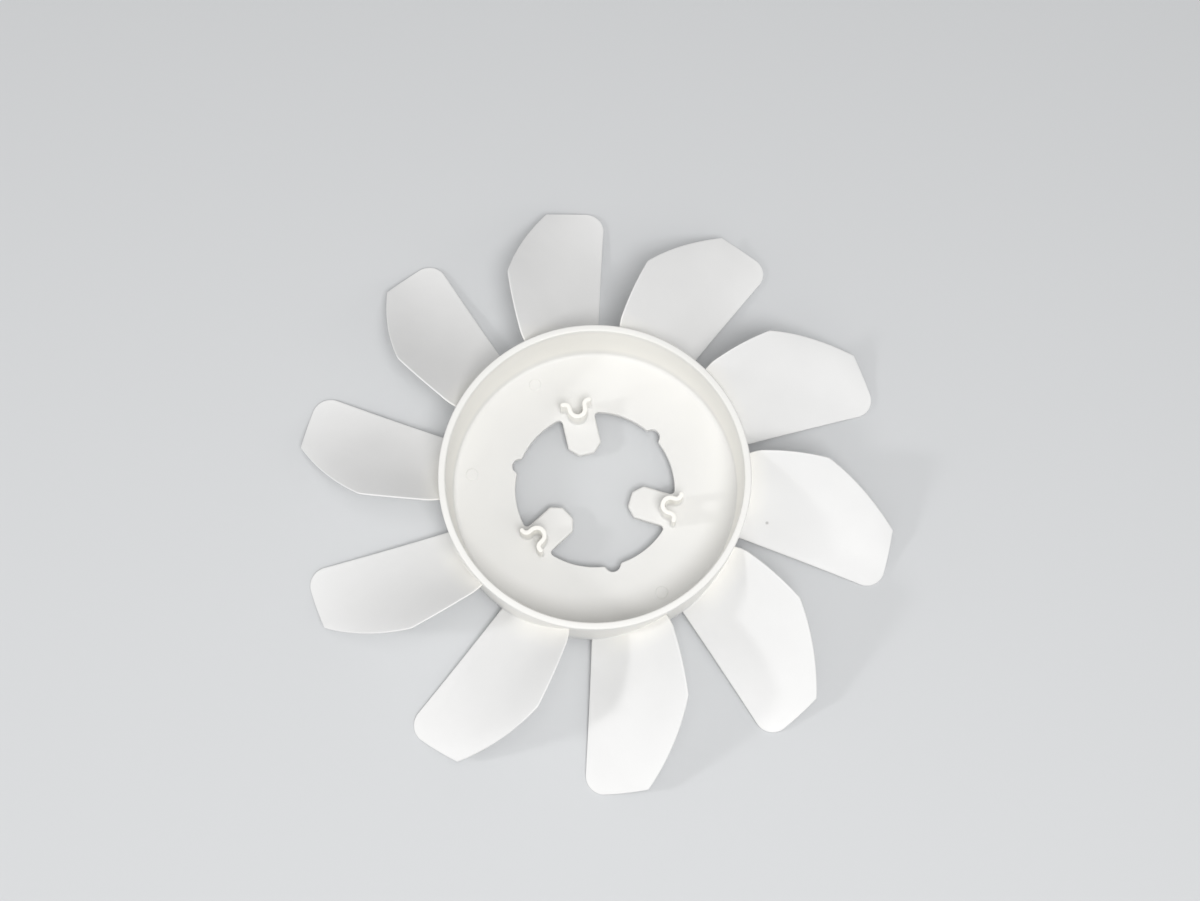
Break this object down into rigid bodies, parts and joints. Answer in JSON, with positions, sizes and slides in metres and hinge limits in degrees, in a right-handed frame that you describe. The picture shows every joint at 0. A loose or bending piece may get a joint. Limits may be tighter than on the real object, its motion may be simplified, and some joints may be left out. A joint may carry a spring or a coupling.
{
  "type": "axial fan impeller",
  "caption": "Moulded axial fan impeller: shallow cup hub with rib seats for a motor rotor and twisted, swept-cut blades around it.",
  "frame": {"origin": "on the fan axis, level with the lowest points of the blade tips", "axes": "+Z along the fan axis towards the open side of the cup; +Y through the middle of one tab and of one blade root"},
  "size_m": [0.2482, 0.2496, 0.0337],
  "materials": {
    "white_plastic": "satin moulded, slightly warm white"
  },
  "bodies": {
    "root": {"impeller": "white_plastic"}
  },
  "joints": []
}
